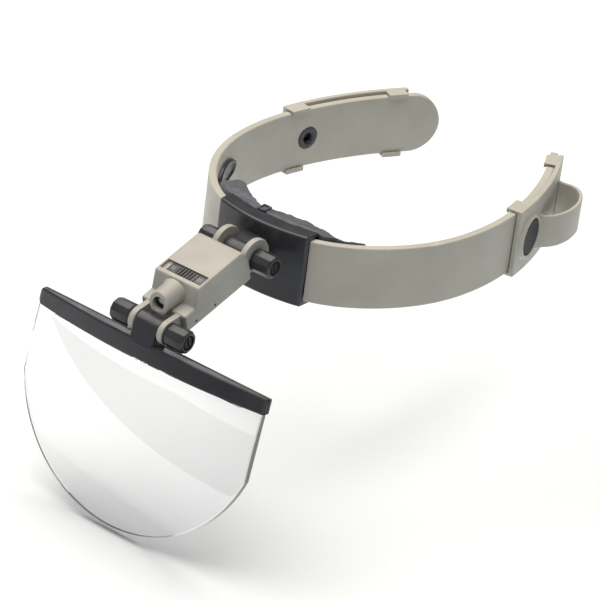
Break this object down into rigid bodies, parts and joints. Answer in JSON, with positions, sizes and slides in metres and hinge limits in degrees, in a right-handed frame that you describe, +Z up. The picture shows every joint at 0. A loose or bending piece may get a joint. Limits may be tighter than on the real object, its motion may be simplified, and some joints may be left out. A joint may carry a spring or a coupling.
{
  "type": "head visor magnifier",
  "caption": "Head-worn magnifier: a padded sprung headband carries a tilting lamp housing with a slide switch, and a wide clear lens hangs from a second tilting hinge.",
  "frame": {"origin": "middle of the forehead pad's rear face, half way up the band", "axes": "+Z up as worn, -Y forwards (the way the wearer looks), +X towards the wearer's left"},
  "size_m": [0.124, 0.2304, 0.1079],
  "materials": {
    "cream_plastic": "fine satin moulding texture",
    "grey_plastic": "fine satin moulding texture",
    "dark_plastic": "semi-gloss dark blue-charcoal",
    "pad_leatherette": "soft, faintly wrinkled",
    "black_rubber": "matt",
    "steel": "plated",
    "black_steel": "black oxide",
    "nickel": "satin plated",
    "clear_acrylic": "clear, polished",
    "led_epoxy": "water-clear dome, reads white",
    "circuit_board": "solder mask"
  },
  "bodies": {
    "headband": {"front_plate": "dark_plastic", "plate_back_cover": "dark_plastic", "forehead_pad": "pad_leatherette", "pad_clip": "dark_plastic", "plate_screw_upper": "steel", "plate_screw_lower": "steel", "arm_left": "cream_plastic", "arm_right": "cream_plastic", "eyelet_left": "dark_plastic", "eyelet_right": "dark_plastic", "pad_tab_left": "dark_plastic", "pad_tab_right": "dark_plastic"},
    "lamp_housing": {"case_shell": "grey_plastic", "case_cover": "grey_plastic", "case_screw_left": "steel", "case_screw_right": "steel", "led_lead_left": "nickel", "led_lead_right": "nickel", "button_cell_lower": "nickel", "button_cell_upper": "nickel", "battery_contact_lower": "nickel", "battery_contact_upper": "nickel", "circuit_board": "circuit_board", "led": "led_epoxy", "switch_body": "black_rubber", "rear_washer_left": "black_rubber", "rear_washer_right": "black_rubber", "front_washer_left": "black_rubber", "front_washer_right": "black_rubber"},
    "visor": {"lens_rail": "dark_plastic", "rail_clamp_strip": "dark_plastic", "lens": "clear_acrylic", "rail_screw_1": "steel", "rail_screw_2": "steel", "rail_screw_3": "steel", "rail_screw_4": "steel"},
    "switch_slider": {"switch_slider": "dark_plastic"},
    "rear_left_knob": {"rear_knob_left": "dark_plastic", "rear_bolt": "black_steel"},
    "rear_right_knob": {"rear_knob_right": "dark_plastic", "rear_nut": "black_steel"},
    "front_left_knob": {"front_knob_left": "dark_plastic", "front_bolt": "black_steel"},
    "front_right_knob": {"front_knob_right": "dark_plastic", "front_nut": "black_steel"},
    "strap_holder_left": {"strap_holder_left": "cream_plastic", "strap_loop_left": "cream_plastic"},
    "lock_button_left": {"lock_button_left": "dark_plastic"},
    "strap_holder_right": {"strap_holder_right": "cream_plastic", "strap_loop_right": "cream_plastic"},
    "lock_button_right": {"lock_button_right": "dark_plastic"}
  },
  "joints": [
    {"name": "housing_tilt", "type": "hinge", "parent": "headband", "child": "lamp_housing", "pos_m": [0, -0.02564, 0.00474], "axis": [-1, 0, 0], "range_deg": [-35, 80]},
    {"name": "lens_tilt", "type": "hinge", "parent": "lamp_housing", "child": "visor", "pos_m": [0, -0.0738, -0.0108], "axis": [-1, 0, 0], "range_deg": [-35, 80]},
    {"name": "rear_left_knob_turn", "type": "hinge", "parent": "lamp_housing", "child": "rear_left_knob", "pos_m": [0.014, -0.02564, 0.00474], "axis": [1, 0, 0], "range_deg": [0, 270]},
    {"name": "rear_right_knob_turn", "type": "hinge", "parent": "lamp_housing", "child": "rear_right_knob", "pos_m": [-0.014, -0.02564, 0.00474], "axis": [-1, 0, 0], "range_deg": [0, 270]},
    {"name": "front_left_knob_turn", "type": "hinge", "parent": "lamp_housing", "child": "front_left_knob", "pos_m": [0.014, -0.0738, -0.0108], "axis": [1, 0, 0], "range_deg": [0, 270]},
    {"name": "front_right_knob_turn", "type": "hinge", "parent": "lamp_housing", "child": "front_right_knob", "pos_m": [-0.014, -0.0738, -0.0108], "axis": [-1, 0, 0], "range_deg": [0, 270]},
    {"name": "switch_slide", "type": "slide", "parent": "lamp_housing", "child": "switch_slider", "axis": [-1, 0, 0], "range_m": [0, 0.002]},
    {"name": "left_holder_slide", "type": "hinge", "parent": "headband", "child": "strap_holder_left", "pos_m": [-0.10168, 0.04769, 0], "axis": [0, 0, 1], "range_deg": [0, 4]},
    {"name": "left_lock_button_press", "type": "slide", "parent": "strap_holder_left", "child": "lock_button_left", "axis": [-0.9752, -0.2213, 0], "range_m": [0, 0.0012]},
    {"name": "right_holder_slide", "type": "hinge", "parent": "headband", "child": "strap_holder_right", "pos_m": [0.10168, 0.04769, 0], "axis": [0, 0, -1], "range_deg": [0, 4]},
    {"name": "right_lock_button_press", "type": "slide", "parent": "strap_holder_right", "child": "lock_button_right", "axis": [0.9752, -0.2213, 0], "range_m": [0, 0.0012]}
  ]
}
